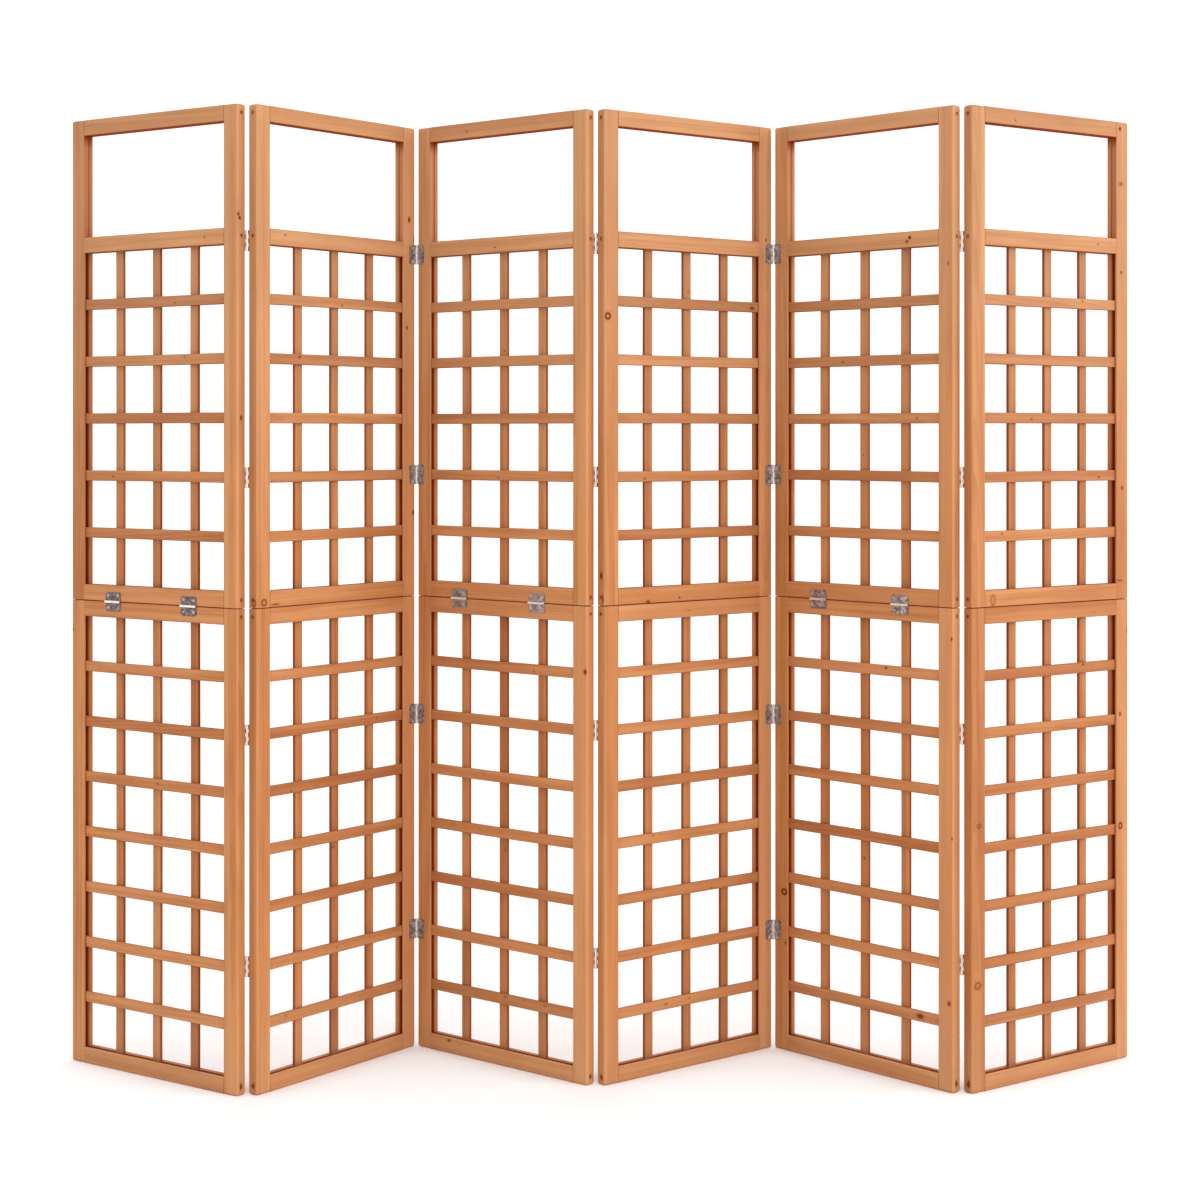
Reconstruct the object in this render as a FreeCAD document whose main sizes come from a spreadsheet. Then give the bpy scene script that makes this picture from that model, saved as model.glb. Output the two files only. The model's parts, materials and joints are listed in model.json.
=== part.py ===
"""Six-panel folding trellis screen in softwood, stood in a zigzag, in millimetres.

Every panel is an upper half on a lower half. The pieces are drawn once, in a panel's own frame:
x from its left edge to its right edge, y from its front face into its depth, z up from the floor.
The panels then take copies of them. Frame of the whole screen: +X along the screen, +Y away from
the viewer, +Z up, origin on the floor at the middle.
"""
import FreeCAD, Part
import math
import os
import re
import Sketcher
from FreeCAD import Placement, Rotation, Vector

SIZES = [
    # One panel and its two halves.
    ("panel_width", 420.0),
    ("panel_thickness", 23.0),
    ("lower_height", 883.0),
    ("upper_height", 916.0),
    ("shut_gap", 1.0),
    # Frame of each half: stiles run through, rails butt between them.
    ("stile_width", 33.0),
    ("stile_rounding", 2.0),
    ("stile_end_rounding", 1.5),
    ("rail_height", 30.0),
    ("rail_rounding", 1.5),
    ("window_height", 194.0),
    # Lattice: cross slats in front, with their ends in a groove round the frame, uprights behind them.
    ("cross_slat_height", 20.0),
    ("cross_slat_thickness", 7.0),
    ("cross_slat_recess", 4.0),
    ("upper_cross_slat_count", 5),
    ("lower_cross_slat_count", 7),
    ("upright_width", 19.5),
    ("upright_pitch", 95.0),
    ("upright_thickness", 7.0),
    ("upright_count", 3),
    ("slat_rounding", 1.5),
    ("tenon_length", 8.0),
    ("tenon_clearance", 0.1),
    # Butt hinges, all alike. The barrel's own radius carries the pin that far off the wood.
    ("hinge_length", 38.0),
    ("hinge_reach", 18.0),
    ("hinge_plate", 1.2),
    ("hinge_corner", 4.0),
    ("barrel_radius", 2.5),
    ("knuckle_gap", 0.2),
    ("pin_radius", 1.2),
    ("pin_clearance", 0.05),
    ("pin_head_radius", 1.9),
    ("pin_head_height", 0.6),
    ("fold_gap", 2.0),
    ("top_hinge_rise", 6.5),
    ("mid_hinge_left", 110.0),
    ("mid_hinge_right", 302.0),
    # Countersunk screws of the hinges.
    ("hinge_screw_reach", 11.5),
    ("hinge_screw_spacing", 25.0),
    ("hinge_screw_radius", 1.3),
    ("hinge_screw_head_radius", 2.8),
    ("hinge_screw_length", 8.0),
    ("recess_length", 3.2),
    ("recess_width", 0.8),
    ("recess_depth", 0.6),
    ("screw_clearance", 0.05),
    # Screws through the stiles into the rails' ends, sunk in the stiles' outer edges.
    ("rail_screw_radius", 1.7),
    ("rail_screw_length", 45.0),
    ("rail_screw_head_radius", 2.7),
    ("rail_screw_head_height", 2.4),
    ("counterbore_radius", 3.0),
    ("counterbore_depth", 10.0),
    # Turn of each panel from the line of the screen, in degrees, as it stands.
    ("turn_panel_1", -33.6),
    ("turn_panel_2", 50.4),
    ("turn_panel_3", -38.9),
    ("turn_panel_4", 37.2),
    ("turn_panel_5", -45.7),
    ("turn_panel_6", 34.3),
]
PANEL_COUNT = 6
KNUCKLES = 5

# Levels and places in a panel's own frame, as formulas of the sizes.
UPPER_BASE = "(lower_height + shut_gap)"
TOTAL_HEIGHT = f"({UPPER_BASE} + upper_height)"
INNER_WIDTH = "(panel_width - 2 * stile_width)"
WINDOW_RAIL_TOP = f"({TOTAL_HEIGHT} - rail_height - window_height)"
UPPER_LATTICE_TOP = f"({WINDOW_RAIL_TOP} - rail_height)"
UPPER_LATTICE_LOW = f"({UPPER_BASE} + rail_height)"
LOWER_LATTICE_TOP = "(lower_height - rail_height)"
LOWER_LATTICE_LOW = "rail_height"
UPPER_SPAN = f"({UPPER_LATTICE_TOP} - {UPPER_LATTICE_LOW})"
LOWER_SPAN = f"({LOWER_LATTICE_TOP} - {LOWER_LATTICE_LOW})"
UPPER_PITCH = f"(({UPPER_SPAN} + cross_slat_height) / (upper_cross_slat_count + 1))"
LOWER_PITCH = f"(({LOWER_SPAN} + cross_slat_height) / (lower_cross_slat_count + 1))"
UPPER_FIRST_SLAT = f"({UPPER_LATTICE_LOW} + {UPPER_PITCH} - cross_slat_height / 2)"
LOWER_FIRST_SLAT = f"({LOWER_LATTICE_LOW} + {LOWER_PITCH} - cross_slat_height / 2)"
UPRIGHT_DEPTH = "(cross_slat_recess + cross_slat_thickness)"
FIRST_UPRIGHT = "(panel_width / 2 - upright_pitch * (upright_count - 1) / 2)"
MORTISE_DEPTH = "(tenon_length + tenon_clearance)"
GROOVE_FRONT = "(cross_slat_recess - tenon_clearance)"
GROOVE_WIDTH = "(cross_slat_thickness + 2 * tenon_clearance)"

# The rails' undersides, and the levels of the fold hinges: just over the window rail's underside, and
# at three of the cross slats.
RAILS = {
    "top_rail": f"({TOTAL_HEIGHT} - rail_height)",
    "window_rail": UPPER_LATTICE_TOP,
    "upper_bottom_rail": UPPER_BASE,
    "lower_top_rail": LOWER_LATTICE_TOP,
    "lower_bottom_rail": "0",
}
UPPER_RAILS = ("top_rail", "window_rail", "upper_bottom_rail")
LOWER_RAILS = ("lower_top_rail", "lower_bottom_rail")
UPPER_HINGE_LEVELS = (f"({UPPER_LATTICE_TOP} + top_hinge_rise)", f"({UPPER_FIRST_SLAT} + {UPPER_PITCH})")
LOWER_HINGE_LEVELS = (f"({LOWER_FIRST_SLAT} + 5 * {LOWER_PITCH})", f"({LOWER_FIRST_SLAT} + {LOWER_PITCH})")
MID_HINGE_LEVEL = "(lower_height + shut_gap / 2)"
MID_HINGE_PLACES = ("mid_hinge_left", "mid_hinge_right")

doc = FreeCAD.newDocument("trellis_screen")
sheet = doc.addObject("Spreadsheet::Sheet", "Sizes")
for row, (name, number) in enumerate(SIZES, start=1):
    sheet.set(f"A{row}", name)
    sheet.set(f"B{row}", str(number))
    sheet.setAlias(f"B{row}", name)
doc.recompute()
NAMES = {name for name, number in SIZES}


def on_sheet(formula):
    """The formula with each size's name written as the sheet's cell."""
    return re.sub(r"[a-z_0-9]+", lambda word: f"Sizes.{word[0]}" if word[0] in NAMES else word[0], formula)


def bind(thing, prop, formula):
    thing.setExpression(prop, on_sheet(formula))


probe = doc.addObject("App::FeaturePython", "Probe")
probe.addProperty("App::PropertyFloat", "Value")


def number(formula):
    """The formula's value at the sheet's present sizes."""
    bind(probe, "Value", formula)
    probe.recompute()
    return probe.Value


# Drawing helpers: every sketch and feature is bound to the sheet.


def new_body(label):
    body = doc.addObject("PartDesign::Body", label)
    body.AllowCompound = True
    return body


def origin_feature(body, role):
    return next(item for item in body.Origin.OriginFeatures if item.Role == role)


def attach(thing, body, role, offset):
    """Attaches to the body's plane, moved off it along its normal. XZ_Plane's normal is -Y."""
    thing.AttachmentSupport = [(origin_feature(body, role), "")]
    thing.MapMode = "FlatFace"
    bind(thing, "AttachmentOffset.Base.z", offset)


def new_sketch(body, role, offset):
    sketch = body.newObject("Sketcher::SketchObject", f"{body.Label}_sketch")
    attach(sketch, body, role, offset)
    return sketch


def constrain(sketch, formula, *arguments):
    index = sketch.addConstraint(Sketcher.Constraint(*arguments))
    bind(sketch, f"Constraints[{index}]", formula)


def rectangle(sketch, left, low, width, height):
    corners = [Vector(0, 0, 0), Vector(1, 0, 0), Vector(1, 1, 0), Vector(0, 1, 0)]
    first = sketch.GeometryCount
    for start, end in zip(corners, corners[1:] + corners[:1]):
        sketch.addGeometry(Part.LineSegment(start, end))
    for side in range(4):
        sketch.addConstraint(Sketcher.Constraint("Coincident", first + side, 2, first + (side + 1) % 4, 1))
        sketch.addConstraint(Sketcher.Constraint("Vertical" if side % 2 else "Horizontal", first + side))
    constrain(sketch, left, "DistanceX", -1, 1, first, 1, 1.0)
    constrain(sketch, low, "DistanceY", -1, 1, first, 1, 1.0)
    constrain(sketch, width, "DistanceX", first, 1, first, 2, 1.0)
    constrain(sketch, height, "DistanceY", first + 1, 1, first + 1, 2, 1.0)


def circle(sketch, across, up, radius):
    index = sketch.addGeometry(Part.Circle(Vector(1, 1, 0), Vector(0, 0, 1), 1.0))
    constrain(sketch, across, "DistanceX", -1, 1, index, 3, 1.0)
    constrain(sketch, up, "DistanceY", -1, 1, index, 3, 1.0)
    constrain(sketch, radius, "Radius", index, 1.0)


def pad(body, sketch, length):
    feature = body.newObject("PartDesign::Pad", f"{body.Label}_pad")
    feature.Profile = sketch
    bind(feature, "Length", length)
    return feature


def pocket(body, sketch, depth, along_normal):
    """Cuts against the sketch's normal, or along it."""
    feature = body.newObject("PartDesign::Pocket", f"{body.Label}_pocket")
    feature.Profile = sketch
    feature.Reversed = along_normal
    bind(feature, "Length", depth)
    return feature


def row(body, features, axis, pitch, count):
    """Repeats the features along one of the body's axes."""
    feature = body.newObject("PartDesign::LinearPattern", f"{body.Label}_row")
    feature.Originals = features
    feature.Direction = (origin_feature(body, axis), [""])
    bind(feature, "Length", f"{pitch} * ({count} - 1)")
    bind(feature, "Occurrences", count)
    body.Tip = feature
    return feature


def rounded(body, base, radius, wanted):
    """Rounds the edges that the test picks."""
    doc.recompute()
    edges = [f"Edge{i}" for i, edge in enumerate(base.Shape.Edges, start=1) if wanted(edge)]
    feature = body.newObject("PartDesign::Fillet", f"{body.Label}_rounding")
    feature.Base = (base, edges)
    bind(feature, "Radius", radius)
    return feature


def runs_along(axis):
    """Test for straight edges along an axis, given by its index."""
    def wanted(edge):
        return isinstance(edge.Curve, Part.Line) and abs(edge.tangentAt(edge.FirstParameter)[axis]) > 0.999
    return wanted


def drill(body, role, offset, centres, radius, depth, along_normal):
    sketch = new_sketch(body, role, offset)
    for across, up in centres:
        circle(sketch, across, up, radius)
    return pocket(body, sketch, depth, along_normal)


# Wooden pieces.


def stile(half, side, hinge_face):
    """A stile with its lattice groove, its rail screw holes and, where it carries hinges, their pilot holes.

    The groove runs from rail to rail along the lattice, and its ends are behind the rails.
    """
    body = new_body(f"{half}_{side}_stile_{hinge_face}")
    upper = half == "upper"
    left = side == "left"
    inner_face = "stile_width" if left else "(panel_width - stile_width)"
    outer_face = "0" if left else "panel_width"
    section = new_sketch(body, "XY_Plane", UPPER_BASE if upper else "0")
    rectangle(section, "0" if left else inner_face, "0", "stile_width", "panel_thickness")
    post = pad(body, section, "upper_height" if upper else "lower_height")
    arrises = rounded(body, post, "stile_rounding", runs_along(2))
    rounded(body, arrises, "stile_end_rounding", lambda edge: edge.BoundBox.ZLength < 1e-6)

    groove = new_sketch(body, "YZ_Plane", inner_face)
    low = UPPER_LATTICE_LOW if upper else LOWER_LATTICE_LOW
    span = UPPER_SPAN if upper else LOWER_SPAN
    rectangle(groove, GROOVE_FRONT, f"{low} - rail_rounding", GROOVE_WIDTH, f"{span} + 2 * rail_rounding")
    pocket(body, groove, MORTISE_DEPTH, not left)

    rails = UPPER_RAILS if upper else LOWER_RAILS
    screws = [("panel_thickness / 2", f"{RAILS[rail]} + rail_height / 2") for rail in rails]
    drill(body, "YZ_Plane", outer_face, screws, "counterbore_radius", "counterbore_depth", left)
    drill(body, "YZ_Plane", outer_face, screws, "rail_screw_radius + screw_clearance", "stile_width", left)

    if hinge_face != "plain":
        from_edge = "(hinge_screw_reach - fold_gap / 2)"
        across = from_edge if left else f"panel_width - {from_edge}"
        levels = UPPER_HINGE_LEVELS if upper else LOWER_HINGE_LEVELS
        holes = [(across, f"{level} {sign} hinge_screw_spacing / 2") for level in levels for sign in "+-"]
        pilot_holes(body, hinge_face, holes)
    return body


def pilot_holes(body, hinge_face, holes):
    """Holes for hinge screws, from the front or the back face."""
    at_back = hinge_face == "back"
    drill(body, "XZ_Plane", "-panel_thickness" if at_back else "0", holes,
          "hinge_screw_radius + screw_clearance", "hinge_screw_length", at_back)


def rail(name, mortised_edge, hinge_face):
    """A rail with its end holes and any mid hinge's pilot holes.

    An edge on the lattice has the groove along it, with the uprights' mortises behind the groove.
    """
    body = new_body(f"{name}_{hinge_face}")
    base = RAILS[name]
    section = new_sketch(body, "YZ_Plane", "stile_width")
    rectangle(section, "0", base, "panel_thickness", "rail_height")
    bar = pad(body, section, INNER_WIDTH)
    rounded(body, bar, "rail_rounding", runs_along(0))

    centre = [("panel_thickness / 2", f"{base} + rail_height / 2")]
    depth = "rail_screw_length + counterbore_depth - stile_width + screw_clearance"
    radius = "rail_screw_radius + screw_clearance"
    drill(body, "YZ_Plane", "stile_width", centre, radius, depth, True)
    drill(body, "YZ_Plane", "panel_width - stile_width", centre, radius, depth, False)

    if mortised_edge != "none":
        on_top = mortised_edge == "top"
        edge = f"{base} + rail_height" if on_top else base
        groove = new_sketch(body, "XY_Plane", edge)
        rectangle(groove, "stile_width - rail_rounding", GROOVE_FRONT,
                  f"{INNER_WIDTH} + 2 * rail_rounding", GROOVE_WIDTH)
        pocket(body, groove, MORTISE_DEPTH, not on_top)
        mortise = new_sketch(body, "XY_Plane", edge)
        rectangle(mortise, f"{FIRST_UPRIGHT} - upright_width / 2 - tenon_clearance",
                  f"{UPRIGHT_DEPTH} - tenon_clearance",
                  "upright_width + 2 * tenon_clearance", "upright_thickness + 2 * tenon_clearance")
        first = pocket(body, mortise, MORTISE_DEPTH, not on_top)
        row(body, [first], "X_Axis", "upright_pitch", "upright_count")

    if hinge_face != "plain":
        off_shut_line = "+ hinge_screw_reach" if on_top else "- hinge_screw_reach"
        level = f"{MID_HINGE_LEVEL} {off_shut_line}"
        signed = [(place, sign) for place in MID_HINGE_PLACES for sign in "+-"]
        holes = [(f"{place} {sign} hinge_screw_spacing / 2", level) for place, sign in signed]
        pilot_holes(body, hinge_face, holes)
    return body


def cross_slats(half):
    """The cross slats of one half, with their ends in the stiles' grooves."""
    body = new_body(f"{half}_cross_slats_master")
    upper = half == "upper"
    section = new_sketch(body, "YZ_Plane", "stile_width - tenon_length")
    first_slat = UPPER_FIRST_SLAT if upper else LOWER_FIRST_SLAT
    rectangle(section, "cross_slat_recess", f"{first_slat} - cross_slat_height / 2",
              "cross_slat_thickness", "cross_slat_height")
    slat = pad(body, section, f"{INNER_WIDTH} + 2 * tenon_length")
    rounding = rounded(body, slat, "slat_rounding", runs_along(0))
    row(body, [slat, rounding], "Z_Axis", UPPER_PITCH if upper else LOWER_PITCH, f"{half}_cross_slat_count")
    return body


def uprights(half):
    """The upright slats of one half, behind its cross slats, with their ends in the rails."""
    body = new_body(f"{half}_uprights_master")
    low = UPPER_LATTICE_LOW if half == "upper" else LOWER_LATTICE_LOW
    top = UPPER_LATTICE_TOP if half == "upper" else LOWER_LATTICE_TOP
    section = new_sketch(body, "XY_Plane", f"{low} - tenon_length")
    rectangle(section, f"{FIRST_UPRIGHT} - upright_width / 2", UPRIGHT_DEPTH,
              "upright_width", "upright_thickness")
    slat = pad(body, section, f"{top} - {low} + 2 * tenon_length")
    rounding = rounded(body, slat, "slat_rounding", runs_along(2))
    row(body, [slat, rounding], "X_Axis", "upright_pitch", "upright_count")
    return body


# Hardware, each in a frame of its own.


def hinge_leaf(label, to_left, first_knuckle, knuckle_count):
    """Hinge frame: pin along z at the origin, the wood's face at y = barrel_radius, a leaf to each side."""
    body = new_body(label)
    plate_width = "(hinge_reach - barrel_radius - knuckle_gap)"
    outline = new_sketch(body, "XZ_Plane", "-barrel_radius")
    rectangle(outline, "-hinge_reach" if to_left else "barrel_radius + knuckle_gap", "-hinge_length / 2",
              plate_width, "hinge_length")
    plate = pad(body, outline, "hinge_plate")
    side = -1 if to_left else 1
    outer = number("hinge_reach - hinge_corner")
    rounded(body, plate, "hinge_corner",
            lambda edge: runs_along(1)(edge) and side * edge.CenterOfMass.x > outer)

    slot = f"(hinge_length / {KNUCKLES})"
    low = f"{first_knuckle} * {slot} + knuckle_gap / 2 - hinge_length / 2"
    web_width = "(barrel_radius + knuckle_gap + hinge_plate)"
    web_section = new_sketch(body, "XY_Plane", low)
    rectangle(web_section, f"-{web_width}" if to_left else "0", "barrel_radius - hinge_plate",
              web_width, "hinge_plate")
    web = pad(body, web_section, f"{slot} - knuckle_gap")
    barrel_section = new_sketch(body, "XY_Plane", low)
    circle(barrel_section, "0", "0", "barrel_radius")
    barrel = pad(body, barrel_section, f"{slot} - knuckle_gap")
    row(body, [web, barrel], "Z_Axis", f"(2 * {slot})", f"{knuckle_count}")
    drill(body, "XY_Plane", "-hinge_length / 2", [("0", "0")],
          "pin_radius + pin_clearance", "hinge_length", True)

    countersink = body.newObject("PartDesign::SubtractiveCone", f"{label}_countersink")
    attach(countersink, body, "XZ_Plane", "-barrel_radius")
    bind(countersink, "AttachmentOffset.Base.x", f"{side} * hinge_screw_reach")
    bind(countersink, "AttachmentOffset.Base.y", "-hinge_screw_spacing / 2")
    bind(countersink, "Radius1", "hinge_screw_head_radius - hinge_plate")
    bind(countersink, "Radius2", "hinge_screw_head_radius")
    bind(countersink, "Height", "hinge_plate")
    row(body, [countersink], "Z_Axis", "hinge_screw_spacing", "2")
    return body


def round_bar(body, low, radius, length):
    section = new_sketch(body, "XY_Plane", low)
    circle(section, "0", "0", radius)
    pad(body, section, length)


def hinge_pin():
    """A pin with a peened head at each end, in the hinge's frame."""
    body = new_body("hinge_pin_master")
    head_low = "hinge_length / 2 - knuckle_gap / 2 + pin_clearance"
    round_bar(body, f"-({head_low}) - pin_head_height", "pin_head_radius", "pin_head_height")
    round_bar(body, f"-({head_low})", "pin_radius", f"2 * ({head_low})")
    round_bar(body, head_low, "pin_head_radius", "pin_head_height")
    return body


def hinge_screw():
    """Countersunk screw with a cross recess, its head's top at z = 0 and its shank down."""
    body = new_body("hinge_screw_master")
    shank_length = "(hinge_screw_length - screw_clearance)"
    round_bar(body, f"-{shank_length} - hinge_plate", "hinge_screw_radius", shank_length)
    head = body.newObject("PartDesign::AdditiveCone", "hinge_screw_head")
    attach(head, body, "XY_Plane", "-hinge_plate")
    bind(head, "Radius1", "hinge_screw_head_radius - hinge_plate - screw_clearance")
    bind(head, "Radius2", "hinge_screw_head_radius - screw_clearance")
    bind(head, "Height", "hinge_plate")
    for across, up in (("recess_length", "recess_width"), ("recess_width", "recess_length")):
        recess = new_sketch(body, "XY_Plane", "0")
        rectangle(recess, f"-{across} / 2", f"-{up} / 2", across, up)
        pocket(body, recess, "recess_depth", False)
    return body


def rail_screw():
    """Round-headed screw, its head's seat at z = 0 and its shank down."""
    body = new_body("rail_screw_master")
    round_bar(body, "-rail_screw_length", "rail_screw_radius", "rail_screw_length")
    round_bar(body, "0", "rail_screw_head_radius", "rail_screw_head_height")
    return body


STILES = {(half, side, face): stile(half, side, face)
          for half in ("upper", "lower") for side in ("left", "right") for face in ("plain", "front", "back")}
TOP_RAIL = rail("top_rail", "none", "plain")
WINDOW_RAIL = rail("window_rail", "under", "plain")
UPPER_BOTTOM_RAIL = {face: rail("upper_bottom_rail", "top", face) for face in ("front", "back")}
LOWER_TOP_RAIL = {face: rail("lower_top_rail", "under", face) for face in ("front", "back")}
LOWER_BOTTOM_RAIL = rail("lower_bottom_rail", "top", "plain")
CROSS_SLATS = {half: cross_slats(half) for half in ("upper", "lower")}
UPRIGHTS = {half: uprights(half) for half in ("upper", "lower")}
THREE_KNUCKLE_LEAF = hinge_leaf("three_knuckle_leaf", True, 0, 3)
TWO_KNUCKLE_LEAF = hinge_leaf("two_knuckle_leaf", False, 1, 2)
HINGE_PIN = hinge_pin()
HINGE_SCREW = hinge_screw()
RAIL_SCREW = rail_screw()
doc.recompute()


# Where the panels stand: each fold's pin is behind an outward fold and before an inward one.


def fold_is_outward(fold):
    """Fold 1 joins panels 1 and 2, and so on. Odd folds point at the viewer."""
    return fold % 2 == 1


def pin_in_panel(fold, at_right_edge):
    """A fold's pin in plan, in the frame of the panel on one side of it."""
    half_gap = number("fold_gap / 2")
    across = number("panel_width") + half_gap if at_right_edge else -half_gap
    depth = number("panel_thickness + barrel_radius") if fold_is_outward(fold) else -number("barrel_radius")
    return Vector(across, depth, 0)


def panel_placements():
    """The panels in line from panel 1, then moved so that the plan's box is centred on the origin."""
    turns = [Rotation(Vector(0, 0, 1), number(f"turn_panel_{panel}")) for panel in range(1, PANEL_COUNT + 1)]
    corners = [Vector(0, 0, 0)]
    for fold in range(1, PANEL_COUNT):
        pin = corners[-1] + turns[fold - 1].multVec(pin_in_panel(fold, True))
        corners.append(pin - turns[fold].multVec(pin_in_panel(fold, False)))
    rounding = number("stile_rounding")
    half_width = number("panel_width / 2")
    half_depth = number("panel_thickness / 2")
    lows, highs = [], []
    for corner, turn in zip(corners, turns):
        middle = corner + turn.multVec(Vector(half_width, half_depth, 0))
        cosine = abs(math.cos(turn.Angle))
        sine = abs(math.sin(turn.Angle))
        straight_width = half_width - rounding
        straight_depth = half_depth - rounding
        spread = Vector(cosine * straight_width + sine * straight_depth + rounding,
                        sine * straight_width + cosine * straight_depth + rounding, 0)
        lows.append(middle - spread)
        highs.append(middle + spread)
    centre = Vector(min(low.x for low in lows) + max(high.x for high in highs),
                    min(low.y for low in lows) + max(high.y for high in highs), 0) / 2
    return [Placement(corner - centre, turn) for corner, turn in zip(corners, turns)]


ABOUT_FACE = Rotation(Vector(0, 0, 1), 180)
BARREL_ACROSS = Rotation(Vector(0, 1, 0), 90)
SCREW_FROM_FACE = Rotation(Vector(1, 0, 0), 90)


def fold_hinges(fold, at_right_edge):
    """The fold's hinges on one of its panels, each as (leaf, placement, does the pin go with this leaf)."""
    outward = fold_is_outward(fold)
    pin = pin_in_panel(fold, at_right_edge)
    takes_three = at_right_edge != outward
    leaf = THREE_KNUCKLE_LEAF if takes_three else TWO_KNUCKLE_LEAF
    turn = ABOUT_FACE if outward else Rotation()
    levels = [number(level) for level in UPPER_HINGE_LEVELS + LOWER_HINGE_LEVELS]
    return [(leaf, Placement(pin + Vector(0, 0, level), turn), takes_three) for level in levels]


def mid_hinges(face):
    """The hinges on the line between a panel's halves, both leaves of each."""
    at_back = face == "back"
    depth = number("panel_thickness + barrel_radius") if at_back else -number("barrel_radius")
    turn = ABOUT_FACE * BARREL_ACROSS if at_back else BARREL_ACROSS
    found = []
    for place in MID_HINGE_PLACES:
        spot = Placement(Vector(number(place), depth, number(MID_HINGE_LEVEL)), turn)
        found.append((THREE_KNUCKLE_LEAF, spot, True))
        found.append((TWO_KNUCKLE_LEAF, spot, False))
    return found


def screws_of(leaf):
    """A hinge leaf's two screws in the hinge's frame."""
    side = -1 if leaf is THREE_KNUCKLE_LEAF else 1
    across = side * number("hinge_screw_reach")
    head_top = number("barrel_radius - hinge_plate")
    half_spacing = number("hinge_screw_spacing / 2")
    return [Placement(Vector(across, head_top, up), SCREW_FROM_FACE) for up in (-half_spacing, half_spacing)]


def rail_screws():
    """The screws of all the rails' ends, in the panel's frame."""
    seat = number("counterbore_depth")
    middle = number("panel_thickness / 2")
    from_left = Rotation(Vector(0, 1, 0), -90)
    from_right = Rotation(Vector(0, 1, 0), 90)
    found = []
    for base in RAILS.values():
        level = number(f"{base} + rail_height / 2")
        found.append((RAIL_SCREW, Placement(Vector(seat, middle, level), from_left)))
        found.append((RAIL_SCREW, Placement(Vector(number("panel_width") - seat, middle, level), from_right)))
    return found


def board_node(label, bodies, placement):
    node = doc.addObject("Part::Compound", label)
    node.Links = bodies
    node.Placement = placement
    return node


def hardware_node(label, pieces, placement):
    """A group of separate copies of small pieces, each as (piece, its placement in the panel)."""
    copies = []
    for piece, spot in pieces:
        copy = piece.Shape.copy()
        copy.Placement = spot
        copies.append(copy)
    node = doc.addObject("Part::Feature", label)
    node.Shape = Part.makeCompound(copies)
    node.Placement = placement
    return node


def hinge_face_of_edge(panel, at_right_edge):
    """The face that carries the hinges of one edge of a panel, or plain at the screen's two ends."""
    fold = panel if at_right_edge else panel - 1
    if fold in (0, PANEL_COUNT):
        return "plain"
    return "back" if fold_is_outward(fold) else "front"


nodes = []
for panel, placement in enumerate(panel_placements(), start=1):
    mid_face = "front" if panel % 2 else "back"
    left_face = hinge_face_of_edge(panel, False)
    right_face = hinge_face_of_edge(panel, True)
    boards = {
        "upper_stiles": [STILES["upper", "left", left_face], STILES["upper", "right", right_face]],
        "lower_stiles": [STILES["lower", "left", left_face], STILES["lower", "right", right_face]],
        "upper_rails": [TOP_RAIL, WINDOW_RAIL, UPPER_BOTTOM_RAIL[mid_face]],
        "lower_rails": [LOWER_TOP_RAIL[mid_face], LOWER_BOTTOM_RAIL],
        "upper_cross_slats": [CROSS_SLATS["upper"]],
        "lower_cross_slats": [CROSS_SLATS["lower"]],
        "upright_slats": [UPRIGHTS["upper"], UPRIGHTS["lower"]],
    }
    for group, bodies in boards.items():
        nodes.append(board_node(f"panel_{panel}_{group}", bodies, placement))

    hinges = mid_hinges(mid_face)
    if left_face != "plain":
        hinges += fold_hinges(panel - 1, False)
    if right_face != "plain":
        hinges += fold_hinges(panel, True)
    leaves = [(leaf, spot) for leaf, spot, holds_pin in hinges]
    pins = [(HINGE_PIN, spot) for leaf, spot, holds_pin in hinges if holds_pin]
    screws = rail_screws()
    for leaf, spot, holds_pin in hinges:
        screws += [(HINGE_SCREW, spot * screw) for screw in screws_of(leaf)]
    nodes.append(hardware_node(f"panel_{panel}_hinge_leaves", leaves, placement))
    nodes.append(hardware_node(f"panel_{panel}_hinge_pins", pins, placement))
    nodes.append(hardware_node(f"panel_{panel}_screws", screws, placement))
doc.recompute()

for item in doc.Objects:
    if "Invalid" in item.State or "Error" in item.State:
        raise RuntimeError(f"{item.Label} did not build: {item.State}")
for node in nodes:
    if node.Shape.isNull() or not node.Shape.isValid():
        raise RuntimeError(f"{node.Label} has no valid shape")

os.makedirs("parts", exist_ok=True)
for node in nodes:
    node.Shape.exportStep(f"parts/{node.Label}.step")
    print(node.Label, len(node.Shape.Solids), "solids")
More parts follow.
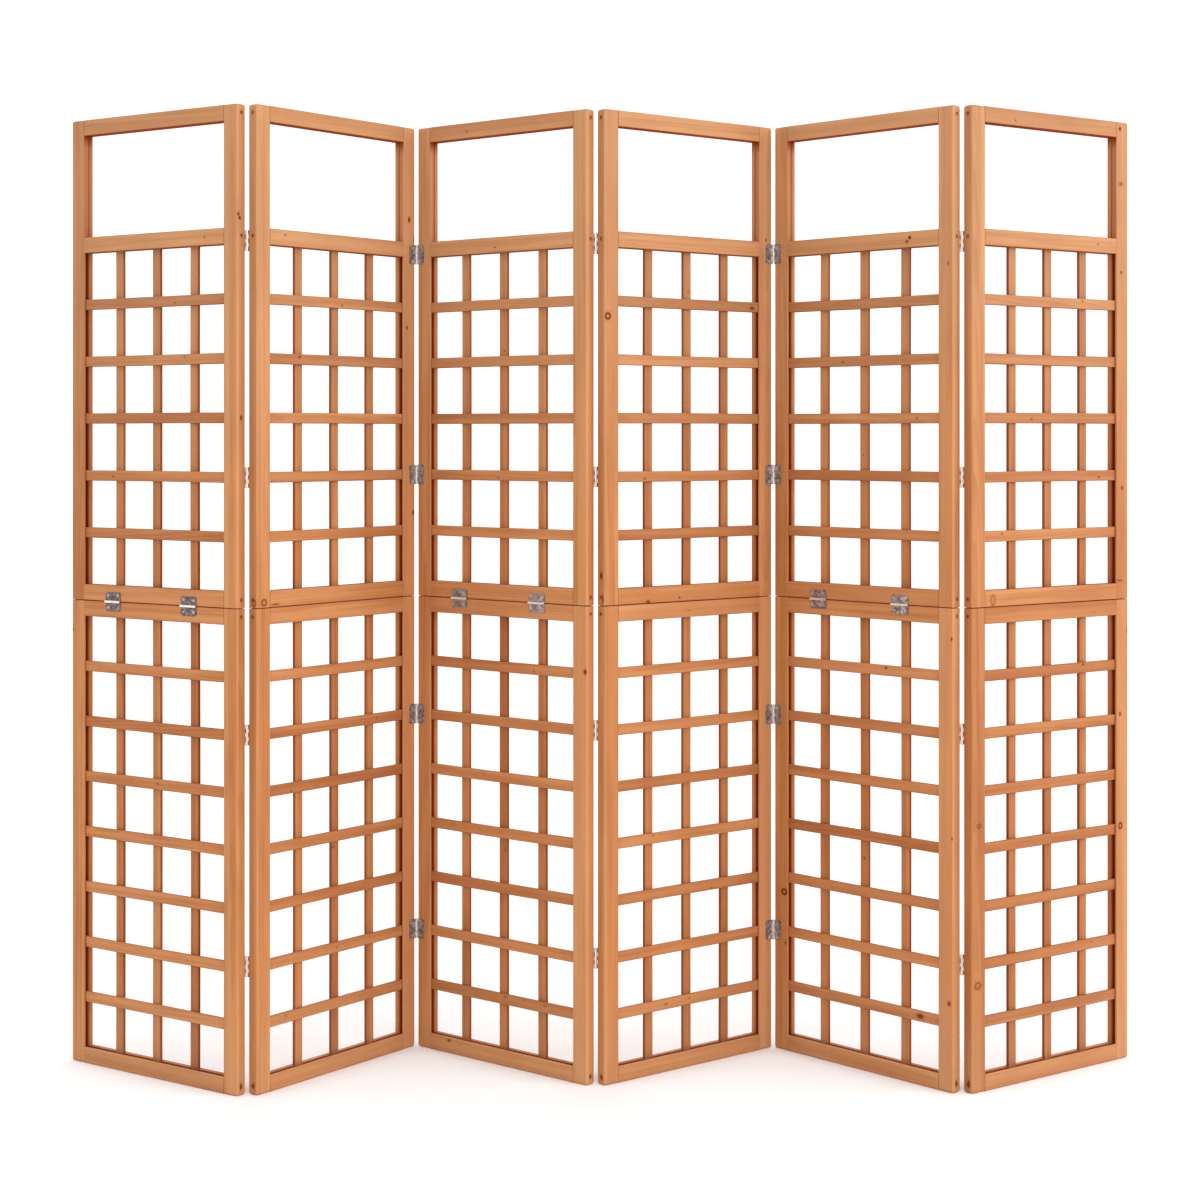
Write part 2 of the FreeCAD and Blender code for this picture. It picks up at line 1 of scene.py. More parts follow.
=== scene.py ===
import json
import bmesh
import bpy
import numpy as np
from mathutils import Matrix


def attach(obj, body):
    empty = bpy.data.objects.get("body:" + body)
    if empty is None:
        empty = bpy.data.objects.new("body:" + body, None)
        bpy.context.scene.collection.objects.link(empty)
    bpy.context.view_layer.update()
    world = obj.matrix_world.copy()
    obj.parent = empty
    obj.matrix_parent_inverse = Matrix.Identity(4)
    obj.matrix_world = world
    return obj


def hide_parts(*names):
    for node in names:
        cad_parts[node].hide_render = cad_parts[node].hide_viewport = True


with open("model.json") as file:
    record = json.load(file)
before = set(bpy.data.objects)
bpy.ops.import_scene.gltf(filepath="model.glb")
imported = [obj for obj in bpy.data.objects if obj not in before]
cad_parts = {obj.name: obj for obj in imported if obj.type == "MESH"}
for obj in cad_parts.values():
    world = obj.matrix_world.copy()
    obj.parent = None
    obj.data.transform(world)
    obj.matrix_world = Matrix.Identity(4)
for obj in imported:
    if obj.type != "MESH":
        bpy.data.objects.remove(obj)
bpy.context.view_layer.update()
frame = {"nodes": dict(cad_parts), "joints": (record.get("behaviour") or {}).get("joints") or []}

# Stiles: the two long uprights of each half panel, planed from stained softwood with eased arrises.
# A groove along the inner side takes the lattice. Screws in the outer edge hold the rails, sunk and stopped
# with brown filler, and the hinges are screwed to the faces.
PANELS = range(1, 7)
PANEL_TURNS = np.radians((-33.6, 50.4, -38.9, 37.2, -45.7, 34.3))
PANEL_WIDTH = 0.420
PANEL_THICKNESS = 0.023
PIN_OFF_EDGE = 0.001
PIN_OFF_FACE = 0.0025
LOWER_HEIGHT = 0.883
UPPER_BASE = 0.884
TOTAL_HEIGHT = 1.800
STILE_WIDTH = 0.033
OUTER_ROUNDING = 0.0038
INNER_ROUNDING = 0.0014
STILE_END_ROUNDING = 0.0035
SHUT_END_ROUNDING = 0.0010
RAIL_HEIGHT = 0.030
RAIL_BASES = {"top": 1.770, "window": 1.546, "upper_bottom": 0.884, "lower_top": 0.853, "lower_bottom": 0.0}
LATTICE_SPANS = {"upper": (0.914, 1.546), "lower": (0.030, 0.853)}
GROOVE_FRONT = 0.0039
GROOVE_BACK = 0.0111
GROOVE_DEPTH = 0.0081
GROOVE_LIP = 0.0003
GROOVE_LINE = 0.0004
# How far behind the groove its painted shade reaches.
GROOVE_SHADE_REACH = 0.0045
SCREW_HOLE_RADIUS = 0.0025
FILLER_DEPTH = 0.0022
FILLER_STAIN = 0.6
# Painted light and shade: each panel's boards are made lighter or darker as a whole, for how the light falls
# on that panel.
PANEL_PAINTED_LIGHT = (-0.08, 0.0, 0.08, 0.0, 0.03, -0.12)
fold_pins = {joint["name"]: np.array(joint["pos_m"][:2]) for joint in frame["joints"]}


def panel_to_row(panel, points):
    """Panel frame to row frame: a turn about the upright, and a shift that puts the pin of a fold in place.

    A panel's x runs from its left edge to its right edge, y from its front face into its depth, and z up.
    """
    turn = PANEL_TURNS[panel - 1]
    matrix = np.array([[np.cos(turn), -np.sin(turn)], [np.sin(turn), np.cos(turn)]])
    fold = min(panel, 5)
    across = PANEL_WIDTH + PIN_OFF_EDGE if fold == panel else -PIN_OFF_EDGE
    depth = PANEL_THICKNESS + PIN_OFF_FACE if fold % 2 else -PIN_OFF_FACE
    placed = points.copy()
    placed[:, :2] = (points[:, :2] - (across, depth)) @ matrix.T + fold_pins[f"fold_{fold}_{fold + 1}"]
    return placed


def quarter_round(centre, radius, start, stop, steps):
    """Arc of a circle from one angle to another, with how near each point is to the middle of the arris."""
    share = np.linspace(0, 1, steps + 1)
    turn = np.radians(start + (stop - start) * share)
    points = np.stack([centre[0] + radius * np.cos(turn), centre[1] + radius * np.sin(turn)], axis=1)
    return points, 4 * share * (1 - share)


def board_outline(width, depth, radii, steps, grooved, drilled, near_shade=0.0, far_shade=0.0):
    """Closed outline of a board's section, as points (across, depth), going round with the wood on the left.

    Four quarter circles, with one radius at the near edge and one at the far edge, are joined by flats, and
    a point close to each arc keeps the flats flat in the light. A groove in the far edge is drawn with no
    depth: its points carry a weight, and each station cuts them in. The near edge of a drilled board has
    five points across each screw hole. Painted shade darkens the groove and the wood just behind it, and
    the near and the far edge by the shares given, less and less over their arrises. Where a strip fills
    the groove there is only a painted shadow line along its back.
    """
    near = 0.0005
    near_radius, radius = radii
    lip = np.degrees(np.arcsin(min(0.0, (GROOVE_FRONT - radius) / radius))) if grooved else 0.0
    parts = []
    parts.append((np.array([[near_radius + near, 0], [width - radius - near, 0]]), 0, 0))
    arc, arris = quarter_round((width - radius, radius), radius, -90, lip, steps)
    parts.append((arc, arris, 0))
    if grooved:
        depths = np.array([GROOVE_FRONT - GROOVE_LIP, GROOVE_FRONT, GROOVE_BACK, GROOVE_BACK,
                           GROOVE_BACK + GROOVE_LINE, GROOVE_BACK + GROOVE_SHADE_REACH])
        weights = np.array([0, 1, 1, 0.05, 0.01, 0])
        parts.append((np.stack([np.full(len(depths), width), depths], axis=1), 0, weights))
    arc, arris = quarter_round((width - radius, depth - radius), radius, 0, 90, steps)
    parts.append((np.array([[width, depth - radius - near]]), 0, 0))
    parts.append((arc, arris, 0))
    parts.append((np.array([[width - radius - near, depth], [near_radius + near, depth]]), 0, 0))
    arc, arris = quarter_round((near_radius, depth - near_radius), near_radius, 90, 180, steps)
    parts.append((arc, arris, 0))
    if drilled:
        edge = depth / 2 + 2 * SCREW_HOLE_RADIUS * np.array([1, 0.5, 0, -0.5, -1])
    else:
        edge = np.array([depth - near_radius - near, near_radius + near])
    parts.append((np.stack([np.zeros(len(edge)), edge], axis=1), 0, 0))
    arc, arris = quarter_round((near_radius, near_radius), near_radius, 180, 270, steps)
    parts.append((arc, arris, 0))
    points = np.concatenate([part[0] for part in parts])
    rounds = np.concatenate([np.broadcast_to(part[1], len(part[0])) for part in parts])
    groove = np.concatenate([np.broadcast_to(part[2], len(part[0])) for part in parts])
    inward = np.stack([points[:, 0] / near_radius, (width - points[:, 0]) / radius], axis=1)
    beside = np.clip(1.1 - inward, 0, 1)
    # Painted shade on the near and the far edge, fading over their arrises.
    spread = (beside * (near_shade, far_shade)).max(axis=1)
    line_depths = (GROOVE_FRONT, GROOVE_BACK, GROOVE_BACK + GROOVE_LINE)
    line = np.interp(points[:, 1], line_depths, (0.05, 0.40, 1.00))
    return {
        "points": points,
        "arris": rounds,
        "groove": groove,
        "painted_shade": np.maximum(np.clip(0.8 + 0.4 * groove, 0, 1) * (groove > 0), spread),
        "painted_shadow_line": np.maximum(line * (groove > 0), spread),
        "far_side": beside[:, 1],
        "size": np.array([width, depth]),
    }


def board_surface(outline, length, roundings, stations, end_stains=(0.35, 0.35), cut=None, bow=0.0,
                  shade_by_station=None):
    """Board as a grid: point (i, j) is outline point j at station i along the board.

    Near an end the section is drawn in towards its middle as a quarter circle, which rounds the end's edges
    by the first or the last of the roundings. The end's stain fades over that rounding. cut gives the
    groove's depth at a place along the board, and bow bends the board across like a bowed lath. The last
    argument gives the painted shade by station and outline point, where it isn't the outline's own all along.
    """
    off_end = 0.0005
    least_gap = 0.008
    usual_gap = 0.09
    first, last = roundings
    quarter = 1 - np.cos(np.radians((0, 30, 60, 90)))
    inner = np.asarray(stations)
    inner = inner[(inner > first + off_end) & (inner < length - last - off_end)]
    count = max(2, int(length / usual_gap))
    even = np.linspace(first, length - last, count + 1)[1:-1]
    if len(inner):
        even = even[np.abs(even[:, None] - inner[None, :]).min(axis=1) > least_gap]
    between = np.sort(np.concatenate([inner, even]))
    along = np.concatenate([first * quarter, between, length - last * quarter[::-1]])
    ease = np.zeros(len(along))
    end_stain = np.zeros(len(along))
    for rounding, stain, from_end in ((first, end_stains[0], along), (last, end_stains[1], length - along)):
        short = np.clip(rounding - from_end, 0, None)
        ease += np.where(short > 0, rounding - np.sqrt(np.clip(rounding ** 2 - short ** 2, 0, None)), 0)
        end_stain += stain * short / rounding
    section = np.broadcast_to(outline["points"], (len(along), *outline["points"].shape)).copy()
    if cut is not None:
        section[:, :, 0] -= cut(along)[:, None] * outline["groove"]
    middle = outline["size"] / 2
    section = middle + (section - middle) * (1 - 2 * ease[:, None, None] / outline["size"])
    section[:, :, 0] += bow * np.sin(np.pi * along / length)[:, None]
    lengthwise = np.broadcast_to(along[:, None, None], (*section.shape[:2], 1))
    points = np.concatenate([lengthwise, section], axis=2)
    painted_shade = outline["painted_shade"][None, :] if shade_by_station is None else shade_by_station(along)
    corner = np.arange(points.shape[0] * points.shape[1]).reshape(points.shape[:2])
    onward = np.roll(corner, -1, axis=1)
    quads = np.stack([corner[:-1], onward[:-1], onward[1:], corner[1:]], axis=2)
    return {
        "points": points.reshape(-1, 3),
        "quads": quads,
        "caps": [corner[0, ::-1], corner[-1]],
        "arris": np.broadcast_to(outline["arris"], points.shape[:2]).ravel(),
        "stain_and_shade": np.maximum(end_stain[:, None], painted_shade).ravel(),
        "along": along,
        "length": length,
        "corner": corner,
    }


def drill_screw_holes(surface, outline, places):
    """Counterbored holes in a board's near edge, stopped just below it.

    Round each hole the 4 by 4 quads of the edge come out. Rings of 16 points run from that square's rim to
    a circle, over its broken edge, down the bore and to the flat top of the filler.
    """
    across, depth = outline["points"].T
    rim = PANEL_THICKNESS / 2 + 2 * SCREW_HOLE_RADIUS
    first = int(np.flatnonzero((across == 0) & np.isclose(depth, rim))[0])
    kept = np.ones(surface["quads"].shape[:2], bool)
    turn = np.radians(135 - 22.5 * np.arange(16))
    rings = np.array([[1.10, 0.0], [1.0, 0.0004], [1.0, 0.0012], [0.98, FILLER_DEPTH]])
    quads, points = [], []
    count = len(surface["points"])
    for place in places:
        low = int(np.argmin(np.abs(surface["along"] - (place - 2 * SCREW_HOLE_RADIUS))))
        kept[low:low + 4, first:first + 4] = False
        i = low + np.concatenate([np.arange(5), np.full(4, 4), np.arange(3, -1, -1), np.zeros(3, int)])
        j = first + np.concatenate([np.zeros(5, int), np.arange(1, 5), np.full(4, 4), np.arange(3, 0, -1)])
        radius = rings[:, :1] * SCREW_HOLE_RADIUS
        ring = np.stack([place + radius * np.cos(turn), np.broadcast_to(rings[:, 1:], (4, 16)),
                         PANEL_THICKNESS / 2 + radius * np.sin(turn)], axis=2)
        index = np.concatenate([surface["corner"][i, j][None], count + np.arange(64).reshape(4, 16)])
        onward = np.roll(index, -1, axis=1)
        quads.append(np.stack([index[:-1], index[1:], onward[1:], onward[:-1]], axis=2).reshape(-1, 4))
        surface["caps"].append(index[-1, ::-1])
        points.append(ring.reshape(-1, 3))
        count += 64
    surface["points"] = np.concatenate([surface["points"], *points])
    surface["quads"] = np.concatenate([surface["quads"][kept], *quads])
    spare = np.zeros(len(surface["points"]) - len(surface["arris"]))
    surface["arris"] = np.concatenate([surface["arris"], spare])
    surface["stain_and_shade"] = np.concatenate([surface["stain_and_shade"], spare + FILLER_STAIN])
    return surface


PITH_RANGE = ((-0.035, 0.008), (0.045, 0.055))
GRAIN_LEAN = 0.020
TONE_SPREAD = 0.13
SMALL_KNOT_CHANCE = 0.3
SMALL_KNOT_RANGE = ((0.0016, 0.0012, 0.35), (0.0036, 0.0024, 0.9))
KNOT_REACH = 0.0015
OTHER_SIDE = 10.0
FAR_FROM_KNOTS = 50.0


def joined_boards(name, panel, boards, seed, usual_tone):
    """One mesh of a panel's boards of a kind, with what the finish reads.

    Each board is (surface, origin, directions of along, across and depth in the panel, knots, how much
    lighter it is than the panel's other boards). The attribute grain is the place in the tree: along the
    board, then off a pith that leans a little to the board. finish is the board's tone, with its panel's
    painted light, the roundness of the arris and how much stain and painted shade darken it. knot is the
    place from the nearest knot, in its own half lengths and half widths, kept per face corner so that it
    stays straight within a face.
    the front, and one with a depth is on the near edge. Its darkness is below nought if only its rim is
    dark.
    """
    random = np.random.default_rng(seed)
    places, faces, grains, finishes, knot_rows = [], [], [], [], []
    count = 0
    for surface, origin, directions, knots, lighter in boards:
        own = surface["points"]
        axes = np.array(directions, float)
        placed = np.asarray(origin) + own @ axes
        mirrored = np.linalg.det(axes[[1, 2, 0]]) < 0
        turn = slice(None, None, -1) if mirrored else slice(None)
        quads = surface["quads"].reshape(-1, 4)[:, turn]
        caps = [cap[turn] for cap in surface["caps"]]
        pith = random.uniform(*PITH_RANGE) * (1, random.choice((-1, 1)))
        lean = random.uniform(-GRAIN_LEAN, GRAIN_LEAN, 2)
        grain = own.copy()
        grain[:, 1:] -= pith + lean * own[:, :1]
        grain[:, 0] += random.uniform(0, 40)
        tone = random.normal(usual_tone, TONE_SPREAD) + PANEL_PAINTED_LIGHT[panel - 1] + lighter
        tone = np.clip(tone, 0.0, 1.0)
        if len(knots) == 0 and random.random() < SMALL_KNOT_CHANCE:
            side = np.ptp(own[:, 1])
            knots = [(random.uniform(0.1, 0.9) * surface["length"], random.uniform(0.2, 0.8) * side, 0.0,
                      *random.uniform(*SMALL_KNOT_RANGE))]
        loops = np.concatenate([quads.ravel(), *caps])
        sizes = np.concatenate([np.full(len(quads), 4), [len(cap) for cap in caps]])
        if len(knots):
            knots = np.array(knots)
            owner = np.repeat(np.arange(len(sizes)), sizes)
            middle, across, deep = (np.bincount(owner, own[loops, axis]) / sizes for axis in range(3))
            off_side = np.where(knots[:, 2] > 0, across[:, None], deep[:, None])
            apart = np.abs(middle[:, None] - knots[:, 0]) + OTHER_SIDE * (off_side > KNOT_REACH)
            nearest = knots[apart.argmin(axis=1)][owner]
            away = own[loops] - nearest[:, :3]
            side = np.where(nearest[:, 2] > 0, away[:, 2], away[:, 1])
            offset = np.column_stack([away[:, 0], side]) / nearest[:, 3:5]
            offset[apart.min(axis=1)[owner] > OTHER_SIDE / 2] = FAR_FROM_KNOTS
            knot_rows.append(np.column_stack([offset, nearest[:, 5]]))
        else:
            knot_rows.append(np.broadcast_to((FAR_FROM_KNOTS, FAR_FROM_KNOTS, 0.0), (len(loops), 3)))
        places.append(panel_to_row(panel, placed))
        grains.append(grain)
        finishes.append(np.column_stack([np.full(len(own), tone), surface["arris"], surface["stain_and_shade"]]))
        faces += (quads + count).tolist() + [(cap + count).tolist() for cap in caps]
        count += len(own)
    mesh = bpy.data.meshes.new(name)
    mesh.from_pydata(np.concatenate(places).tolist(), [], faces)
    mesh.polygons.foreach_set("use_smooth", np.ones(len(faces), bool))
    mesh.set_sharp_from_angle(angle=np.radians(35))
    for label, domain, rows in (("grain", "POINT", grains), ("finish", "POINT", finishes),
                                ("knot", "CORNER", knot_rows)):
        layer = mesh.attributes.new(label, "FLOAT_VECTOR", domain)
        layer.data.foreach_set("vector", np.concatenate(rows).astype(np.float32).ravel())
    mesh.update()
    piece = bpy.data.objects.new(name, mesh)
    bpy.context.scene.collection.objects.link(piece)
    return piece


def wire(tree, kind, settings=None, inputs=None):
    """Adds a node, sets its settings, and fills its inputs with values or links to other nodes' outputs."""
    made = tree.nodes.new(kind)
    for key, value in (settings or {}).items():
        setattr(made, key, value)
    for key, value in (inputs or {}).items():
        if isinstance(value, bpy.types.NodeSocket):
            tree.links.new(value, made.inputs[key])
        else:
            made.inputs[key].default_value = value
    return made


def arithmetic(tree, operation, *values):
    """One sum, product or other operation on numbers and outputs."""
    return wire(tree, "ShaderNodeMath", {"operation": operation}, dict(enumerate(values))).outputs[0]


def vectors(tree, operation, first, second):
    """One operation on two vectors, of which LENGTH gives a single value."""
    made = wire(tree, "ShaderNodeVectorMath", {"operation": operation}, {0: first, 1: second})
    return made.outputs["Value"] if operation == "LENGTH" else made.outputs["Vector"]


def ramp_between(tree, value, low, high, at_low, at_high):
    """Smooth step from one level to another."""
    made = wire(tree, "ShaderNodeMapRange", {"interpolation_type": "SMOOTHSTEP"},
                {"Value": value, "From Min": low, "From Max": high, "To Min": at_low, "To Max": at_high})
    return made.outputs["Result"]


def blend_colours(tree, how, share, first, second):
    """The second colour laid over the first by a share, mixed with it or multiplied."""
    made = wire(tree, "ShaderNodeMix", {"data_type": "RGBA", "blend_type": how},
                {0: share, 6: first, 7: second})
    return made.outputs[2]


def grain_noise(tree, place, stretch, detail):
    """Noise drawn out along the board: stretch is its waves per metre along, across and deep."""
    spread = vectors(tree, "MULTIPLY", place, stretch)
    made = wire(tree, "ShaderNodeTexNoise", {"noise_dimensions": "3D"},
                {"Vector": spread, "Scale": 1.0, "Detail": detail, "Roughness": 0.55})
    return made


EARLY_WOOD = (0.488, 0.190, 0.062, 1)
LATE_WOOD = (0.425, 0.151, 0.042, 1)
PALE_BAND = (0.580, 0.262, 0.098, 1)
DARK_STREAK = (0.396, 0.124, 0.030, 1)
PALE_FIBRE = (0.552, 0.244, 0.103, 1)
BLOTCH_TINT = (0.80, 0.70, 0.60, 1)
DARK_BOARD_TINT = (0.74, 0.60, 0.48, 1)
LIGHT_BOARD = (0.598, 0.276, 0.124, 1)
RUBBED_AND_HIGHLIT_ARRIS = (0.626, 0.322, 0.152, 1)
SHEEN_PALE_WOOD = (0.478, 0.386, 0.239, 1)
HALO_TINT = (0.74, 0.50, 0.32, 1)
KNOT_HEART = (0.130, 0.030, 0.004, 1)
SOAK_AND_SHADE_TINT = (0.54, 0.16, 0.03, 1)
WOOD_SHEEN = 0.26
RINGS_PER_METRE = 430.0


def stained_softwood():
    """Orange-brown stain on planed softwood, worked out from the attributes grain, finish and knot.

    A place in a growth ring is the fraction of the distance from the pith counted in rings, swayed by slow
    noise and pushed round the knots. Fibres, streaks and bands are noise drawn out along the board. Stain
    darkens blotches and knots, and stain with painted shade darkens the places marked in finish. The wood
    is paler on arrises, which are worn and carry a painted highlight, paler towards the top as a painted
    sheen of light from above, and paler at the foot.
    """
    material = bpy.data.materials.new("stained_softwood")
    material.use_nodes = True
    tree = material.node_tree
    shader = tree.nodes["Principled BSDF"]
    shader.inputs["Specular IOR Level"].default_value = WOOD_SHEEN
    grain = wire(tree, "ShaderNodeAttribute", {"attribute_name": "grain"}).outputs["Vector"]
    finish = wire(tree, "ShaderNodeAttribute", {"attribute_name": "finish"}).outputs["Vector"]
    knot = wire(tree, "ShaderNodeAttribute", {"attribute_name": "knot"}).outputs["Vector"]
    tone, arris, soak_and_shade = wire(tree, "ShaderNodeSeparateXYZ", None, {0: finish}).outputs
    darkness = wire(tree, "ShaderNodeSeparateXYZ", None, {0: knot}).outputs[2]
    strength = arithmetic(tree, "ABSOLUTE", darkness)
    rimmed = arithmetic(tree, "LESS_THAN", darkness, 0.0)

    sway = grain_noise(tree, grain, (1.6, 12.0, 12.0), 2.0).outputs["Color"]
    sway = vectors(tree, "SUBTRACT", sway, (0.5, 0.5, 0.5))
    swayed = vectors(tree, "ADD", grain, vectors(tree, "MULTIPLY", sway, (0.0, 0.008, 0.008)))
    from_pith = vectors(tree, "LENGTH", vectors(tree, "MULTIPLY", swayed, (0.0, 1.0, 1.0)), (0.0, 0.0, 0.0))
    uneven = grain_noise(tree, grain, (30.0, 260.0, 260.0), 2.0).outputs["Fac"]
    off_knot = vectors(tree, "LENGTH", vectors(tree, "MULTIPLY", knot, (1.0, 1.0, 0.0)), (0.0, 0.0, 0.0))
    off_knot = arithmetic(tree, "ADD", off_knot, arithmetic(tree, "MULTIPLY", uneven, 0.35))
    swirl = arithmetic(tree, "MULTIPLY", ramp_between(tree, off_knot, 0.6, 3.6, 1.0, 0.0), strength)
    pushed = arithmetic(tree, "MULTIPLY", swirl, 1.7)
    phase = arithmetic(tree, "MULTIPLY_ADD", from_pith, RINGS_PER_METRE, pushed)
    phase = arithmetic(tree, "ADD", phase, arithmetic(tree, "MULTIPLY", uneven, 0.3))
    ring = arithmetic(tree, "FRACT", phase)
    late = arithmetic(tree, "MULTIPLY", ramp_between(tree, ring, 0.30, 0.88, 0.0, 1.0),
                      ramp_between(tree, ring, 0.93, 1.0, 1.0, 0.0))
    fibre = grain_noise(tree, grain, (9.0, 700.0, 700.0), 3.0).outputs["Fac"]
    streak = grain_noise(tree, grain, (2.2, 130.0, 130.0), 2.0).outputs["Fac"]
    blotch = grain_noise(tree, grain, (5.0, 26.0, 26.0), 3.0).outputs["Fac"]

    wood = blend_colours(tree, "MIX", late, EARLY_WOOD, LATE_WOOD)
    band = grain_noise(tree, grain, (0.9, 48.0, 48.0), 1.0).outputs["Fac"]
    wood = blend_colours(tree, "MIX", ramp_between(tree, band, 0.38, 0.64, 0.0, 0.60), wood, PALE_BAND)
    wood = blend_colours(tree, "MIX", ramp_between(tree, streak, 0.44, 0.70, 0.0, 0.50), wood, DARK_STREAK)
    wood = blend_colours(tree, "MIX", ramp_between(tree, fibre, 0.50, 0.75, 0.0, 0.25), wood, PALE_FIBRE)
    blotched = ramp_between(tree, blotch, 0.38, 0.72, 0.0, 0.60)
    wood = blend_colours(tree, "MULTIPLY", blotched, wood, BLOTCH_TINT)
    darker = ramp_between(tree, tone, 0.0, 0.5, 0.75, 0.0)
    wood = blend_colours(tree, "MULTIPLY", darker, wood, DARK_BOARD_TINT)
    wood = blend_colours(tree, "MIX", ramp_between(tree, tone, 0.5, 1.0, 0.0, 0.45), wood, LIGHT_BOARD)
    # Arrises paler: worn, and with a painted highlight along them.
    rubbed_and_highlit = arithmetic(tree, "MULTIPLY", arris, ramp_between(tree, streak, 0.42, 0.62, 0.10, 0.45))
    wood = blend_colours(tree, "MIX", rubbed_and_highlit, wood, RUBBED_AND_HIGHLIT_ARRIS)
    # Painted sheen: paler towards the top, for light falling from above; paler at the foot as well.
    place = wire(tree, "ShaderNodeTexCoord").outputs["Object"]
    height = wire(tree, "ShaderNodeSeparateXYZ", None, {0: place}).outputs[2]
    paled_by_height = arithmetic(tree, "ADD", ramp_between(tree, height, 0.90, 1.65, 0.0, 0.15),
                       ramp_between(tree, height, 0.0, 0.22, 0.10, 0.0))
    wood = blend_colours(tree, "MIX", paled_by_height, wood, SHEEN_PALE_WOOD)
    ripple = arithmetic(tree, "COSINE", arithmetic(tree, "MULTIPLY", off_knot, 13.0))
    halo = arithmetic(tree, "MULTIPLY", ramp_between(tree, off_knot, 0.9, 2.4, 0.60, 0.0), strength)
    halo = arithmetic(tree, "MULTIPLY", halo, arithmetic(tree, "MULTIPLY_ADD", rimmed, -0.7, 1.0))
    wood = blend_colours(tree, "MULTIPLY", halo, wood, HALO_TINT)
    core = arithmetic(tree, "MULTIPLY", ramp_between(tree, off_knot, 0.85, 1.35, 1.0, 0.0), strength)
    spread = arithmetic(tree, "MULTIPLY_ADD", strength, -0.9, 0.9)
    core = arithmetic(tree, "MULTIPLY", core, arithmetic(tree, "MULTIPLY_ADD", ripple, spread, 1.0))
    clear_middle = arithmetic(tree, "MULTIPLY", rimmed, ramp_between(tree, off_knot, 0.42, 0.74, 0.90, 0.0))
    core = arithmetic(tree, "MULTIPLY", core, arithmetic(tree, "SUBTRACT", 1.0, clear_middle))
    wood = blend_colours(tree, "MIX", core, wood, KNOT_HEART)
    # Stain, and painted shade in grooves, on undersides and edges and in gaps, by the share in finish.
    wood = blend_colours(tree, "MULTIPLY", soak_and_shade, wood, SOAK_AND_SHADE_TINT)
    tree.links.new(wood, shader.inputs["Base Color"])

    dulled = arithmetic(tree, "MAXIMUM", soak_and_shade, core)
    sheen = arithmetic(tree, "MULTIPLY_ADD", dulled, -0.24, WOOD_SHEEN)
    tree.links.new(sheen, shader.inputs["Specular IOR Level"])
    rough = arithmetic(tree, "MULTIPLY_ADD", fibre, 0.20, 0.42)
    rough = arithmetic(tree, "ADD", rough, arithmetic(tree, "MULTIPLY", late, 0.06))
    rough = arithmetic(tree, "ADD", rough, arithmetic(tree, "MULTIPLY", soak_and_shade, 0.25))
    tree.links.new(rough, shader.inputs["Roughness"])
    relief = arithmetic(tree, "MULTIPLY_ADD", late, 0.55, arithmetic(tree, "MULTIPLY", fibre, 0.45))
    relief = arithmetic(tree, "ADD", relief, arithmetic(tree, "MULTIPLY", core, 0.3))
    bump = wire(tree, "ShaderNodeBump", None, {"Strength": 0.30, "Distance": 0.00030, "Height": relief})
    tree.links.new(bump.outputs["Normal"], shader.inputs["Normal"])
    return material


softwood = stained_softwood()
# Painted shade darkens the stiles' inner sides a little, besides the groove.
stile_outline = board_outline(STILE_WIDTH, PANEL_THICKNESS, (OUTER_ROUNDING, INNER_ROUNDING), steps=6,
                              grooved=True, drilled=True, far_shade=0.22)
STILE_TONE = 0.58
# Stain in the end grain, for the shut end and the other end; the shut end's larger share is also painted
# shade in the shut line's gap.
STILE_END_STAIN_AND_SHADE = (0.60, 0.25)
STRIP_RECESS = 0.0003
GROOVE_END_REACH = (0.004, 0.0015)
# Painted shade in the window's upper corner under the top rail: how far down it reaches and how dark it is at
# the top.
WINDOW_SHADE = 0.022
WINDOW_CORNER_SHADE = 0.95
UPRIGHT_WAY = ((0, 0, 1), (1, 0, 0), (0, 1, 0))
MIRRORED_WAY = ((0, 0, 1), (-1, 0, 0), (0, 1, 0))
STILE_HALVES = {
    "upper": (UPPER_BASE, TOTAL_HEIGHT - UPPER_BASE, ("top", "window", "upper_bottom")),
    "lower": (0.0, LOWER_HEIGHT, ("lower_top", "lower_bottom")),
}
